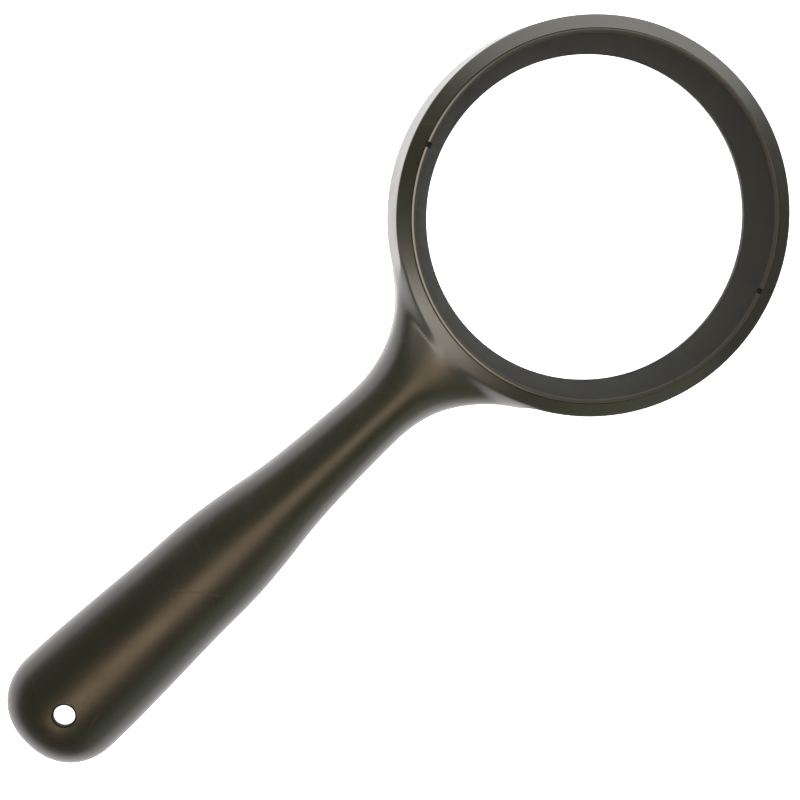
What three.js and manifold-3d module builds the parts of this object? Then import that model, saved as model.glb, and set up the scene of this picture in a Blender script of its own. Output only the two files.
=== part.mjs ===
// Hand magnifying glass with a 65 mm lens.
//
// A moulded frame (rim, neck and the front of the handle in one piece) holds a plano-convex lens
// from the front with a threaded, funnel-shaped retaining ring. The handle is hollow and closed
// from behind by a screwed cover. A hanging hole goes through the butt of the handle.
//
// Millimetres, +Z out of the front along the lens axis, with the handle along -Y. Every piece is laid
// out from the centre of the rim on the flat back, and distances along the handle are measured from
// there. The finished object stands with its origin in the middle of its footprint.

import * as THREE from 'three';
import { mergeVertices } from 'three/addons/utils/BufferGeometryUtils.js';
import Module from 'manifold-3d';

const wasm = await Module();
wasm.setup();

// ---------------------------------------------------------------- driving dimensions

// Lens
const LENS_R = 32.5;
const LENS_EDGE = 1.5;
const LENS_CURVE_R = 131;
const LENS_BEVEL = 0.2;

// Rim, seen in section from its back (z = 0) to its front lip
const RIM_BACK_R = 39.1;
const LIP_R = 38;
const LIP_OUTER_Z = 11.8;
const LIP_INNER_Z = 13;
const BORE_R = 35.4;
const EDGE_ROUND = 0.4;
const SEAT_R = 31.9;
const SEAT_FLANGE = 0.9;
const POCKET_R = 32.8;
const LEDGE_Z = 2.75;

// Retaining ring
const CREST_Z = 13.5;
const CREST_INNER_R = 34.55;
const CREST_OUTER_R = 35.1;
const OPENING_R = 31.65;
const OPENING_LAND = 0.6;
const RING_BACK_Z = 3.7;
const RING_BODY_R = 34.35;
const RING_HEAD_Z = 10;
const NOTCH_WIDTH = 1.1;
const NOTCH_DEPTH = 0.6;
const NOTCH_ANGLE = THREE.MathUtils.degToRad(203.8);

// Thread between the ring and the rim: one right-hand ridge on each, half a pitch apart
const PITCH = 3;
const THREAD_TURNS = 1.5;
const RIDGE_ROOT_WIDTH = 1.1;
const RIDGE_TIP_WIDTH = 0.7;
const RIDGE_SINK = 0.15;
const RING_RIDGE_TIP_R = 35.1;
const RING_RIDGE_Z = 4.9;
const RIM_RIDGE_TIP_R = 34.7;
const RIM_RIDGE_LEAD_TURNS = -0.63;

// Thin rings on each side of the lens
const GASKET_Z = 0.95;
const GASKET_THICKNESS = 0.4;
const GASKET_INNER_R = 32;
const GASKET_OUTER_R = 32.7;
const LENS_Z = 1.4;
const SLIP_RING_Z = 3.1;
const SLIP_RING_THICKNESS = 0.3;
const SLIP_RING_INNER_R = 31.75;
const SLIP_RING_OUTER_R = 34.2;

// Handle: [distance from the rim centre, half width] and [distance, height above the back]
const NECK_Y = 56;
const NECK_HALF_WIDTH = 6.6;
const FILLET_R = 25;
const TIP_Y = 152.6;
const CAP_LENGTH = 11.2;
const CAP_EXPONENT = 2.3;
const HALF_WIDTHS = [
  [NECK_Y, NECK_HALF_WIDTH], [68, 7], [80, 7.9], [92, 9.65], [100, 10.5],
  [112, 10.95], [126, 11.75], [138, 12.25], [TIP_Y, 12.25],
];
const HEIGHTS = [
  [LIP_R, 10.7], [44, 10.15], [50, 9.65], [60, 9.1], [75, 9.1], [90, 9.7],
  [105, 10.2], [122, 10.6], [140, 10.8], [TIP_Y, 10.8],
];
const SECTION_EXPONENT = 2.2;
const SIDE_BAND = 1.2;
const RIM_SIDE_BAND = 5.5;
const BAND_SETTLES_Y = 50;
const APRON_EASE = 0.5;
const APRON_HALF_WIDTH = 8;
const APRON_SINK = 0.3;

// Hollow, cover and hanging hole
const WALL = 2;
const LEDGE_WIDTH = 1.2;
const HOLLOW_NECK_Y = 60;
const HOLLOW_BUTT_Y = 131;
const COVER_THICKNESS = 2;
const COVER_GAP = 0.3;
const COVER_BACK_Z = 0.15;
const RESTING_GAP = 0.1;
const HOLE_Y = 140.7;
const HOLE_R = 2.1;
const HOLE_BACK_R = 6;
const HOLE_LAND = 1.2;

// Cross ribs inside the hollow
const RIB_YS = [83, 110.5];
const RIB_THICKNESS = 1.2;

// Fasteners
const SCREW_YS = [69, 97, 124];
const BOSS_R = 2.6;
const PILOT_R = 1.4;
const PILOT_TOP_Z = 6.9;
const SCREW_R = 1.1;
const SCREW_CORE_R = 0.85;
const SCREW_TIP_Z = 6.4;
const SCREW_THREAD_PITCH = 0.8;
const HEAD_R = 2;
const HEAD_HEIGHT = 1.05;
const HEAD_BACK_Z = 0.3;
const COUNTERBORE_R = 2.4;
const COUNTERBORE_FLOOR_Z = 1.4;
const CROSS_WIDTH = 0.55;
const CROSS_LENGTH = 2.3;
const CROSS_DEPTH = 0.7;

// Facets
const ROUND = 72;
const SMALL_ROUND = 16;
const OUTSIDE_FACETS = { across: 24, along: 44 };
const HOLLOW_FACETS = { across: 12, along: 14 };
const CUT_MARGIN = 1;

// ---------------------------------------------------------------- solids and cuts

// The volume enclosed by a triangle list; negative when its faces point inwards.
function enclosedVolume(positions, triangles) {
  const corner = (index) => new THREE.Vector3().fromArray(positions, 3 * triangles[index]);
  let total = 0;
  for (let i = 0; i < triangles.length; i += 3) {
    total += corner(i).dot(corner(i + 1).cross(corner(i + 2))) / 6;
  }
  return total;
}

// Turns a closed three.js geometry into a solid that can be joined and cut.
function solid(geometry) {
  geometry.deleteAttribute('normal');
  geometry.deleteAttribute('uv');
  const merged = mergeVertices(geometry, 1e-4);
  const triangles = [];
  const index = merged.index.array;
  for (let i = 0; i < index.length; i += 3) {
    const [a, b, c] = [index[i], index[i + 1], index[i + 2]];
    if (a !== b && b !== c && c !== a) triangles.push(a, b, c);
  }
  const positions = Float32Array.from(merged.attributes.position.array);
  if (enclosedVolume(positions, triangles) < 0) triangles.reverse();
  return new wasm.Manifold(new wasm.Mesh({
    numProp: 3,
    vertProperties: positions,
    triVerts: Uint32Array.from(triangles),
  }));
}

// A solid of revolution about Z from [radius, z] points; a profile off the axis closes on itself.
function turned(profile, segments = ROUND) {
  const points = profile.map(([radius, z]) => new THREE.Vector2(radius, z));
  if (profile[0][0] > 0) points.push(points[0].clone());
  return solid(new THREE.LatheGeometry(points, segments).rotateX(Math.PI / 2));
}

function disc(radius, zLow, zHigh, segments = ROUND) {
  return turned([[0, zLow], [radius, zLow], [radius, zHigh], [0, zHigh]], segments);
}

function flatRing(inner, outer, zLow, zHigh) {
  return turned([[inner, zLow], [outer, zLow], [outer, zHigh], [inner, zHigh]]);
}

// A bar bent into a helix: one thread ridge, tapered from its root to its tip.
function threadRidge(rootR, tipR, startZ, startTurns) {
  const geometry = new THREE.BoxGeometry(THREAD_TURNS, 1, 1, THREAD_TURNS * ROUND, 1, 1);
  const position = geometry.attributes.position;
  for (let i = 0; i < position.count; i += 1) {
    const turns = startTurns + position.getX(i) + THREAD_TURNS / 2;
    const towardsTip = position.getY(i) + 0.5;
    const radius = THREE.MathUtils.lerp(rootR, tipR, towardsTip);
    const width = THREE.MathUtils.lerp(RIDGE_ROOT_WIDTH, RIDGE_TIP_WIDTH, towardsTip);
    const angle = 2 * Math.PI * turns;
    const z = startZ + PITCH * turns + width * position.getZ(i);
    position.setXYZ(i, radius * Math.cos(angle), radius * Math.sin(angle), z);
  }
  return solid(geometry);
}

// A named mesh from a solid, with its own material.
function mesh(name, body, material) {
  const { vertProperties, triVerts } = body.getMesh();
  const geometry = new THREE.BufferGeometry();
  geometry.setAttribute('position', new THREE.BufferAttribute(Float32Array.from(vertProperties), 3));
  geometry.setIndex(new THREE.BufferAttribute(Uint32Array.from(triVerts), 1));
  geometry.computeVertexNormals();
  const made = new THREE.Mesh(geometry, material);
  made.name = name;
  return made;
}

// ---------------------------------------------------------------- the handle's form

// A smooth curve through [position, value] stations, with level ends.
function through(stations, at) {
  const last = stations.length - 1;
  const i = THREE.MathUtils.clamp(stations.findIndex(([x]) => x > at) - 1, 0, last - 1);
  if (at >= stations[last][0]) return stations[last][1];
  const slope = (k) => (k <= 0 || k >= last ? 0
    : (stations[k + 1][1] - stations[k - 1][1]) / (stations[k + 1][0] - stations[k - 1][0]));
  const [x0, y0] = stations[i];
  const [x1, y1] = stations[i + 1];
  const span = x1 - x0;
  const t = Math.max(0, (at - x0) / span);
  return (2 * t ** 3 - 3 * t ** 2 + 1) * y0 + (t ** 3 - 2 * t ** 2 + t) * span * slope(i)
    + (3 * t ** 2 - 2 * t ** 3) * y1 + (t ** 3 - t ** 2) * span * slope(i + 1);
}

// How full a rounded end is: 1 before the cap starts, 0 at its tip.
function capFullness(intoCap, capLength) {
  const reach = THREE.MathUtils.clamp(intoCap / capLength, 0, 1);
  return (1 - reach ** CAP_EXPONENT) ** (1 / CAP_EXPONENT);
}

// Half width of the outline at a distance from the rim centre.
function halfWidth(distance) {
  return through(HALF_WIDTHS, distance) * capFullness(distance - (TIP_Y - CAP_LENGTH), CAP_LENGTH);
}

// Half of the angle that the handle takes up, seen from the rim centre. Between the neck and the
// rim its side is the fillet: an arc that is tangent to the neck and to the rim.
function halfAngle(distance, inset) {
  if (distance >= NECK_Y) return Math.asin(Math.max(halfWidth(distance) - inset, 0) / distance);
  const filletX = NECK_HALF_WIDTH + FILLET_R;
  const filletDistance = Math.hypot(filletX, NECK_Y);
  const cosine = (distance ** 2 + filletDistance ** 2 - FILLET_R ** 2) / (2 * distance * filletDistance);
  return Math.atan2(filletX, NECK_Y) - Math.acos(Math.min(cosine, 1));
}

// Height of the handle's ridge, without the apron.
function handleHeight(distance) {
  const cap = capFullness(distance - (TIP_Y - CAP_LENGTH), CAP_LENGTH);
  return SIDE_BAND + (through(HEIGHTS, distance) - SIDE_BAND) * cap;
}

// How far the lip's slope, which runs on as a short narrow apron, stands above the ridge.
// The apron starts a little below the lip, so that the rim's own edge stays clean.
function apronRise(distance, sideways) {
  const lipSlope = (LIP_INNER_Z - LIP_OUTER_Z) / (LIP_R - BORE_R);
  const gap = LIP_OUTER_Z - APRON_SINK - lipSlope * (distance - LIP_R) - handleHeight(distance);
  const share = Math.max(1 - (sideways / APRON_HALF_WIDTH) ** 2, 0) ** 2;
  return share * (gap + Math.hypot(gap, APRON_EASE)) / 2;
}

// Height of the upright side under the dome: tall beside the rim's wall, low from the neck on.
function sideBand(distance) {
  const settled = THREE.MathUtils.smoothstep(distance, RIM_BACK_R, BAND_SETTLES_Y);
  return THREE.MathUtils.lerp(RIM_SIDE_BAND, SIDE_BAND, settled);
}

// A domed bar with a flat back between two distances, in rows that are arcs about the rim centre.
// inset and sink shrink its sides and its top.
function domedBar(from, to, inset, sink, backZ, facets) {
  const geometry = new THREE.BoxGeometry(2, 2, 1, facets.across, facets.along, 1);
  const position = geometry.attributes.position;
  for (let i = 0; i < position.count; i += 1) {
    const side = Math.sin(position.getX(i) * Math.PI / 2);
    const run = (position.getY(i) + 1) / 2;
    const distance = from + (to - from) * (1 - Math.cos(run * Math.PI)) / 2;
    const angle = side * halfAngle(distance, inset);
    const dome = (1 - Math.min(Math.abs(side), 1) ** SECTION_EXPONENT) ** (1 / SECTION_EXPONENT);
    const band = sideBand(distance);
    const rise = handleHeight(distance) - sink - band;
    const top = band + rise * dome + apronRise(distance, distance * angle);
    const z = position.getZ(i) > 0 ? top : backZ;
    position.setXYZ(i, distance * Math.sin(angle), -distance * Math.cos(angle), z);
  }
  return solid(geometry);
}

// An upright slab whose outline follows the handle's, rounded at both ends.
function handleSlab(inset, endInset, zLow, zHigh) {
  const start = HOLLOW_NECK_Y + endInset;
  const end = HOLLOW_BUTT_Y - endInset;
  const neckCap = NECK_HALF_WIDTH - inset;
  const steps = 22;
  const side = [];
  for (let i = 0; i <= steps; i += 1) {
    const distance = start + (end - start) * (1 - Math.cos(Math.PI * i / steps)) / 2;
    const neckEnd = capFullness(start + neckCap - distance, neckCap);
    const buttEnd = capFullness(distance - (end - CAP_LENGTH), CAP_LENGTH);
    side.push(new THREE.Vector2((halfWidth(distance) - inset) * neckEnd * buttEnd, -distance));
  }
  const mirrored = side.slice(1, -1).reverse().map((point) => new THREE.Vector2(-point.x, point.y));
  const outline = new THREE.Shape([...side, ...mirrored]);
  const slab = new THREE.ExtrudeGeometry(outline, { depth: zHigh - zLow, bevelEnabled: false });
  return solid(slab.translate(0, 0, zLow));
}

// ---------------------------------------------------------------- frame

function rimBody() {
  return turned([
    [SEAT_R, 0],
    [RIM_BACK_R - EDGE_ROUND, 0],
    [RIM_BACK_R, EDGE_ROUND],
    [LIP_R + 0.5 * EDGE_ROUND, LIP_OUTER_Z - EDGE_ROUND],
    [LIP_R - 0.5 * EDGE_ROUND, LIP_OUTER_Z + 0.25 * EDGE_ROUND],
    [BORE_R + 0.5 * EDGE_ROUND, LIP_INNER_Z],
    [BORE_R, LIP_INNER_Z - 0.5 * EDGE_ROUND],
    [BORE_R, LEDGE_Z],
    [POCKET_R, LEDGE_Z],
    [POCKET_R, SEAT_FLANGE],
    [SEAT_R, SEAT_FLANGE],
  ]);
}

// A short round hole in the front wall that opens into a cone towards the back.
function hangingHole() {
  const topZ = handleHeight(HOLE_Y);
  const coneTopZ = topZ - HOLE_LAND;
  const spread = (HOLE_BACK_R - HOLE_R) / coneTopZ;
  const profile = [
    [0, -CUT_MARGIN],
    [HOLE_BACK_R + CUT_MARGIN * spread, -CUT_MARGIN],
    [HOLE_R, coneTopZ],
    [HOLE_R, topZ + CUT_MARGIN],
    [0, topZ + CUT_MARGIN],
  ];
  return turned(profile, 2 * SMALL_ROUND).translate([0, -HOLE_Y, 0]);
}

function frame() {
  const insideZ = COVER_BACK_Z + COVER_THICKNESS + RESTING_GAP;
  const bar = domedBar((BORE_R + LIP_R) / 2, TIP_Y, 0, 0, 0, OUTSIDE_FACETS);
  const recess = handleSlab(WALL, 0, -CUT_MARGIN, insideZ);
  const hollow = domedBar(HOLLOW_NECK_Y, HOLLOW_BUTT_Y, WALL, WALL, -CUT_MARGIN, HOLLOW_FACETS)
    .intersect(handleSlab(WALL + LEDGE_WIDTH, LEDGE_WIDTH, -CUT_MARGIN, CREST_Z));
  const rimRidgeZ = RING_RIDGE_Z + PITCH / 2;
  const rimRidge = threadRidge(BORE_R + RIDGE_SINK, RIM_RIDGE_TIP_R, rimRidgeZ, RIM_RIDGE_LEAD_TURNS);
  let body = rimBody().add(bar).add(rimRidge).subtract(recess).subtract(hollow).subtract(hangingHole());
  const withinWalls = domedBar(HOLLOW_NECK_Y, HOLLOW_BUTT_Y, WALL / 2, WALL / 2, 0, HOLLOW_FACETS);
  for (const y of RIB_YS) {
    const rib = new THREE.BoxGeometry(2 * HOLLOW_NECK_Y, RIB_THICKNESS, CREST_Z)
      .translate(0, -y, insideZ + CREST_Z / 2);
    body = body.add(solid(rib).intersect(withinWalls));
  }
  for (const y of SCREW_YS) {
    const boss = disc(BOSS_R, insideZ, handleHeight(y) - WALL / 2, SMALL_ROUND);
    const pilot = disc(PILOT_R, 0, PILOT_TOP_Z, SMALL_ROUND);
    body = body.add(boss.translate([0, -y, 0])).subtract(pilot.translate([0, -y, 0]));
  }
  return body;
}

// ---------------------------------------------------------------- retaining ring

function retainingRing() {
  let ring = turned([
    [OPENING_R, RING_BACK_Z],
    [RING_BODY_R - EDGE_ROUND, RING_BACK_Z],
    [RING_BODY_R, RING_BACK_Z + EDGE_ROUND],
    [RING_BODY_R, RING_HEAD_Z],
    [CREST_OUTER_R, RING_HEAD_Z],
    [CREST_OUTER_R, CREST_Z - 0.5 * EDGE_ROUND],
    [CREST_OUTER_R - 0.5 * EDGE_ROUND, CREST_Z],
    [CREST_INNER_R + 0.25 * EDGE_ROUND, CREST_Z],
    [CREST_INNER_R, CREST_Z - 0.25 * EDGE_ROUND],
    [OPENING_R, RING_BACK_Z + OPENING_LAND],
  ]);
  ring = ring.add(threadRidge(RING_BODY_R - RIDGE_SINK, RING_RIDGE_TIP_R, RING_RIDGE_Z, 0));
  for (const angle of [NOTCH_ANGLE, NOTCH_ANGLE + Math.PI]) {
    const slot = new THREE.BoxGeometry(4, NOTCH_WIDTH, 2 * NOTCH_DEPTH)
      .translate(CREST_OUTER_R, 0, CREST_Z)
      .rotateZ(angle);
    ring = ring.subtract(solid(slot));
  }
  return ring;
}

// ---------------------------------------------------------------- lens

function lens() {
  const arcSteps = 10;
  const edgeTopZ = LENS_Z + LENS_EDGE;
  const rimDrop = Math.sqrt(LENS_CURVE_R ** 2 - LENS_R ** 2);
  const profile = [
    [0, LENS_Z],
    [LENS_R - LENS_BEVEL, LENS_Z],
    [LENS_R, LENS_Z + LENS_BEVEL],
  ];
  for (let i = 0; i <= arcSteps; i += 1) {
    const radius = LENS_R * (1 - i / arcSteps);
    profile.push([radius, edgeTopZ + Math.sqrt(LENS_CURVE_R ** 2 - radius ** 2) - rimDrop]);
  }
  return turned(profile);
}

// ---------------------------------------------------------------- cover and screws

function backCover() {
  let cover = handleSlab(WALL + COVER_GAP, COVER_GAP, COVER_BACK_Z, COVER_BACK_Z + COVER_THICKNESS);
  for (const y of SCREW_YS) {
    const clearance = disc(PILOT_R, -CUT_MARGIN, COVER_THICKNESS + CUT_MARGIN, SMALL_ROUND);
    const counterbore = disc(COUNTERBORE_R, -CUT_MARGIN, COUNTERBORE_FLOOR_Z, 2 * SMALL_ROUND);
    cover = cover.subtract(clearance.add(counterbore).translate([0, -y, 0]));
  }
  return cover;
}

// A self-tapping screw with its head at the back; the thread is a row of V-shaped rings.
function coverScrew() {
  const shoulderZ = HEAD_BACK_Z + HEAD_HEIGHT;
  const profile = [
    [0, HEAD_BACK_Z],
    [0.7 * HEAD_R, HEAD_BACK_Z],
    [HEAD_R, HEAD_BACK_Z + 0.45 * HEAD_HEIGHT],
    [HEAD_R, shoulderZ],
    [SCREW_CORE_R, shoulderZ],
  ];
  for (let z = shoulderZ + 0.5; z < SCREW_TIP_Z - SCREW_THREAD_PITCH; z += SCREW_THREAD_PITCH) {
    profile.push([SCREW_CORE_R, z], [SCREW_R, z + SCREW_THREAD_PITCH / 3]);
    profile.push([SCREW_CORE_R, z + 2 * SCREW_THREAD_PITCH / 3]);
  }
  profile.push([0, SCREW_TIP_Z]);
  let screw = turned(profile, SMALL_ROUND);
  for (const [length, width] of [[CROSS_LENGTH, CROSS_WIDTH], [CROSS_WIDTH, CROSS_LENGTH]]) {
    const slot = new THREE.BoxGeometry(length, width, 2 * CROSS_DEPTH).translate(0, 0, HEAD_BACK_Z);
    screw = screw.subtract(solid(slot));
  }
  return screw;
}

// ---------------------------------------------------------------- materials

function plastic(color, roughness) {
  return new THREE.MeshStandardMaterial({ color, roughness, metalness: 0 });
}

function clearGlass() {
  const material = new THREE.MeshStandardMaterial({ color: 0xf4f8f6, roughness: 0.02, metalness: 0 });
  material.transparent = true;
  material.opacity = 0.25;
  return material;
}

function zincPlated() {
  return new THREE.MeshStandardMaterial({ color: 0xb8bcc0, roughness: 0.35, metalness: 1 });
}

// ---------------------------------------------------------------- assembly

const magnifier = new THREE.Group();
const aboutTheRim = new THREE.Group();
aboutTheRim.position.y = (TIP_Y - RIM_BACK_R) / 2;
magnifier.add(aboutTheRim);

aboutTheRim.add(mesh('frame', frame(), plastic(0x1c1d18, 0.36)));
aboutTheRim.add(mesh('retaining_ring', retainingRing(), plastic(0x24241f, 0.6)));
aboutTheRim.add(mesh('lens', lens(), clearGlass()));
aboutTheRim.add(mesh(
  'lens_gasket',
  flatRing(GASKET_INNER_R, GASKET_OUTER_R, GASKET_Z, GASKET_Z + GASKET_THICKNESS),
  plastic(0x101010, 0.9),
));
aboutTheRim.add(mesh(
  'lens_slip_ring',
  flatRing(SLIP_RING_INNER_R, SLIP_RING_OUTER_R, SLIP_RING_Z, SLIP_RING_Z + SLIP_RING_THICKNESS),
  plastic(0x2b2b2b, 0.5),
));
aboutTheRim.add(mesh('handle_back_cover', backCover(), plastic(0x1c1d18, 0.42)));

SCREW_YS.forEach((y, index) => {
  const screw = mesh(`cover_screw_${index + 1}`, coverScrew(), zincPlated());
  screw.position.y = -y;
  aboutTheRim.add(screw);
});

export default magnifier;
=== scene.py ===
"""A hand magnifying glass lying on a pale table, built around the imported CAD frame.

Shapes are worked out in millimetres from the centre of the rim on the flat back, with the handle
along -Y, and moved into the frame (metres) when a piece is finished.
"""

import math

import bmesh
import bpy
from mathutils import Matrix, Vector


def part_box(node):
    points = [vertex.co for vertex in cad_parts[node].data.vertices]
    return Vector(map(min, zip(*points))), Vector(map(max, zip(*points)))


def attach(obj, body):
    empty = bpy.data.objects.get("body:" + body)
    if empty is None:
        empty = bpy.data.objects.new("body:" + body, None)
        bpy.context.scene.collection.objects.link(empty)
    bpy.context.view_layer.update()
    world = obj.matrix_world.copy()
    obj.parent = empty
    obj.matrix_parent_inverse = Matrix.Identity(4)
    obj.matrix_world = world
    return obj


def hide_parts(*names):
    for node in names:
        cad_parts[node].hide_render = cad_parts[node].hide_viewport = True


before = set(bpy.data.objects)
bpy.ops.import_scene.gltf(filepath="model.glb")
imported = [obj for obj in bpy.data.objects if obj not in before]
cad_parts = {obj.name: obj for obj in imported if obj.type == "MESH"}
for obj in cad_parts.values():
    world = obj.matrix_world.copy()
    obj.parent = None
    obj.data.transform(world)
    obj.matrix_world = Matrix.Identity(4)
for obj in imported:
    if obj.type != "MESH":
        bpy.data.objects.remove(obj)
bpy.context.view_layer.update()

# ------------------------------------------------------------------ sizes read from the frame

MM = 0.001


def box_mm(node):
    """The corners of a CAD node in millimetres."""
    low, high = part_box(node)
    return low / MM, high / MM


FRAME_LOW, FRAME_HIGH = box_mm("frame")
RING_LOW, RING_HIGH = box_mm("retaining_ring")
LENS_LOW, LENS_HIGH = box_mm("lens")
GASKET_LOW, GASKET_HIGH = box_mm("lens_gasket")
SLIP_LOW, SLIP_HIGH = box_mm("lens_slip_ring")
COVER_LOW, COVER_HIGH = box_mm("handle_back_cover")

RIM_CENTRE = Vector((0, (LENS_LOW.y + LENS_HIGH.y) / 2, 0))
SCREW_NAMES = [f"cover_screw_{number}" for number in (1, 2, 3)]
SCREW_DISTANCES = [RIM_CENTRE.y - (box_mm(name)[0].y + box_mm(name)[1].y) / 2 for name in SCREW_NAMES]

# Rim
BACK_R = FRAME_HIGH.x
LIP_INNER_Z = FRAME_HIGH.z
LIP_R = 38.0
LIP_OUTER_Z = 11.8
LIP_ROUND = 0.45
WALL_DRAFT = 0.02
EDGE_ROUND = 0.4
FINE_EDGE = 0.1
BORE_R = 35.38
LIP_SLOPE = (LIP_INNER_Z - LIP_OUTER_Z) / (LIP_R - BORE_R)
SEAT_R = 31.9
SEAT_FLANGE = 0.9
POCKET_R = GASKET_HIGH.x + 0.1
LEDGE_Z = 2.75

# Retaining ring
CREST_Z = RING_HIGH.z
RING_BACK_Z = RING_LOW.z
RING_BODY_R = 34.35
RING_HEAD_R = 35.3
RING_HEAD_Z = 10.0
CREST_INNER_R = 34.55
OPENING_R = 31.65
OPENING_LAND = 0.6
CREST_ROUND = 0.32
NOTCH_ANGLE = math.radians(203.8)
NOTCH_WIDTH = 1.1
NOTCH_DEPTH = 0.6
NOTCH_CUTTER_LENGTH = 4.0

# Crest: depth of its worn bare plastic, then a painted highlight on one side, with the share of the
# crest's radius where it starts, and how far outwards from the crest's inner edge
BARE_DEPTH = 0.3
FULLY_BARE_DEPTH = 0.1
CREST_HIGHLIGHT_ANGLE = math.radians(-34)
CREST_HIGHLIGHT_START = 0.35
CREST_HIGHLIGHT_FROM = 0.3
CREST_HIGHLIGHT_FULL_FROM = 0.45

# Thread: one right-hand ridge on each part, half a pitch apart
PITCH = 3.0
THREAD_TURNS = 1.5
RIDGE_ROOT_WIDTH = 1.1
RIDGE_TIP_WIDTH = 0.7
RIDGE_SINK = 0.15
# Each end rises from a least height to the full one over a twelfth of the ridge
RIDGE_END_STEEPNESS = 12
RIDGE_LEAST_RISE = 0.05
RING_RIDGE_TIP_R = 35.1
RING_RIDGE_Z = 4.9
RIM_RIDGE_TIP_R = 34.7
RIM_RIDGE_LEAD_TURNS = -0.63

# Lens
LENS_R = LENS_HIGH.x
LENS_EDGE = 1.5
LENS_CURVE_R = 131.0
LENS_BEVEL = 0.2

# Handle, by distance from the rim centre
NECK = 56.0
NECK_HALF_WIDTH = 6.6
FILLET_R = 25.0
TIP = RIM_CENTRE.y - FRAME_LOW.y
CAP_LENGTH = 11.2
CAP_EXPONENT = 2.3
HALF_WIDTHS = [
    (NECK, NECK_HALF_WIDTH), (68, 7), (80, 7.9), (92, 9.65), (100, 10.5),
    (112, 10.95), (126, 11.75), (138, 12.25), (TIP, 12.25),
]
HEIGHTS = [
    (LIP_R, 10.7), (44, 10.15), (50, 9.65), (60, 9.1), (75, 9.1), (90, 9.7),
    (105, 10.2), (122, 10.6), (140, 10.8), (TIP, 10.8),
]
SIDE_BAND = 1.2
RIM_SIDE_BAND = 5.5
BAND_SETTLES_AT = 50.0
SECTION_EXPONENT = 2.2
APRON_EASE = 0.5
APRON_HALF_WIDTH = 8.0

# Hollow, cover and hanging hole
WALL = 2.0
LEDGE_WIDTH = 1.2
HOLLOW_START = 60.0
HOLLOW_END = 131.0
COVER_GAP = 0.3
RECESS_Z = COVER_HIGH.z + 0.1
HOLE_DISTANCE = 140.7
HOLE_R = 2.1
HOLE_BACK_R = 6.0
HOLE_LAND = 1.2
HOLE_EDGE = 0.3
BOSS_R = 2.6
PILOT_R = 1.4
PILOT_TOP_Z = 6.9
RIB_DISTANCES = (83.0, 110.5)
RIB_THICKNESS = 1.2

# Screws
SCREW_LOW, SCREW_HIGH = box_mm(SCREW_NAMES[0])
HEAD_R = (SCREW_HIGH.x - SCREW_LOW.x) / 2
HEAD_HEIGHT = 1.05
SHANK_R = 1.1
CORE_R = 0.85
HEAD_DOME_HEIGHT = 0.6 * HEAD_HEIGHT
HEAD_DOME_EXPONENT = 0.8
POINT_LENGTH = 0.9
POINT_R = 0.15
SCREW_PITCH = 0.8
SCREW_RIDGE_HALF_WIDTH = 0.24
SCREW_RIDGE_SINK = 0.1
SCREW_RIDGE_LOW_R = CORE_R - 0.02
SCREW_RIDGE_LEAST_RISE = 0.1
SCREW_RIDGE_END_STEEPNESS = 8
SCREW_RIDGE_FROM_HEAD = 0.3
SCREW_RIDGE_FROM_TIP = 0.5
COUNTERBORE_R = 2.4
COUNTERBORE_Z = 1.4
COVER_BEVEL = 0.25
CROSS_WIDTH = 0.55
CROSS_LENGTH = 2.3
CROSS_DEPTH = 0.7

# Thin rings
GASKET_INNER_R = 32.0
GASKET_ROUND = 0.12
SLIP_INNER_R = 31.75
SLIP_ROUND = 0.08

# Colours
FRAME_DARK = (0.009, 0.0095, 0.005)
FRAME_LIGHT = (0.015, 0.0155, 0.009)
RUBBED_PLASTIC = (0.075, 0.07, 0.06)
RING_DARK = (0.012, 0.012, 0.01)
RING_LIGHT = (0.02, 0.02, 0.017)
BARE_CREST = (0.045, 0.042, 0.036)
# Painted highlight on one side of the crest's outer edge
CREST_HIGHLIGHT_COLOUR = (0.235, 0.23, 0.215)
RUBBER_DARK = (0.012, 0.012, 0.012)
RUBBER_DUSTY = (0.03, 0.03, 0.03)
WAXY_DARK = (0.03, 0.03, 0.03)
WAXY_DUSTY = (0.06, 0.06, 0.06)
STEEL_COOL = (0.50, 0.51, 0.53)
STEEL_WARM = (0.62, 0.60, 0.55)
STEEL_SPOTS = (0.28, 0.28, 0.27)
STEEL_EDGES = (0.8, 0.8, 0.8)
GLASS_CLEAN = (1.0, 1.0, 1.0)
GLASS_SMUDGED = (0.985, 0.99, 0.985)
GLASS_SHADE = (0.97, 0.98, 0.97, 1)
BOARD_DARK = (0.86, 0.86, 0.87)
BOARD_LIGHT = (0.9, 0.9, 0.9)

# Shine of the frame's plastic: on its open surfaces, and in the hanging hole, where it is turned down as
# painted shade
OPEN_SPECULAR = 0.5
HOLE_SHADE_SPECULAR = 0.05

# Table, light and camera
TABLE_SIZE = 3000
TABLE_GAP = 0.02
TABLE_TINT = (0.93, 0.93, 1, 1)
TABLE_GLOW = 1.7
FILL_COLOUR = (0.95, 1, 0.8, 1)
FILL_STRENGTH = 0.24
# Soft panels: name, place from the rim centre, point it faces, width, height, spread, radiance, colour
SOFT_PANELS = [
    ("panel_over_handle", (43, -192, 310), (43, -137, 0), 60, 295, 180, 8.1, (1.0, 0.71, 0.46)),
    ("panel_behind_rim", (-140, 220, 130), (0, 20, 0), 520, 190, 180, 4.8, (1.0, 0.98, 0.93)),
    ("panel_at_neck", (-20, -184, 135), (-6, -36, 12), 160, 60, 34, 24.0, (1.0, 0.94, 0.86)),
    ("panel_beside_handle", (300, -110, 120), (0, -90, 0), 300, 180, 180, 0.9, (0.9, 1.0, 0.7)),
]
NO_GRID_ANGLE = math.radians(89)
CAMERA_AIM = RIM_CENTRE + Vector((1.42, -51.17, 0))
CAMERA_DISTANCE = 273.3
CAMERA_LEAN = 8.5
CAMERA_LEANS_TO = 168.0
PICTURE_UP = 137.0
CAMERA_LENS = 61.3
CAMERA_SENSOR = 36.0

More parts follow.
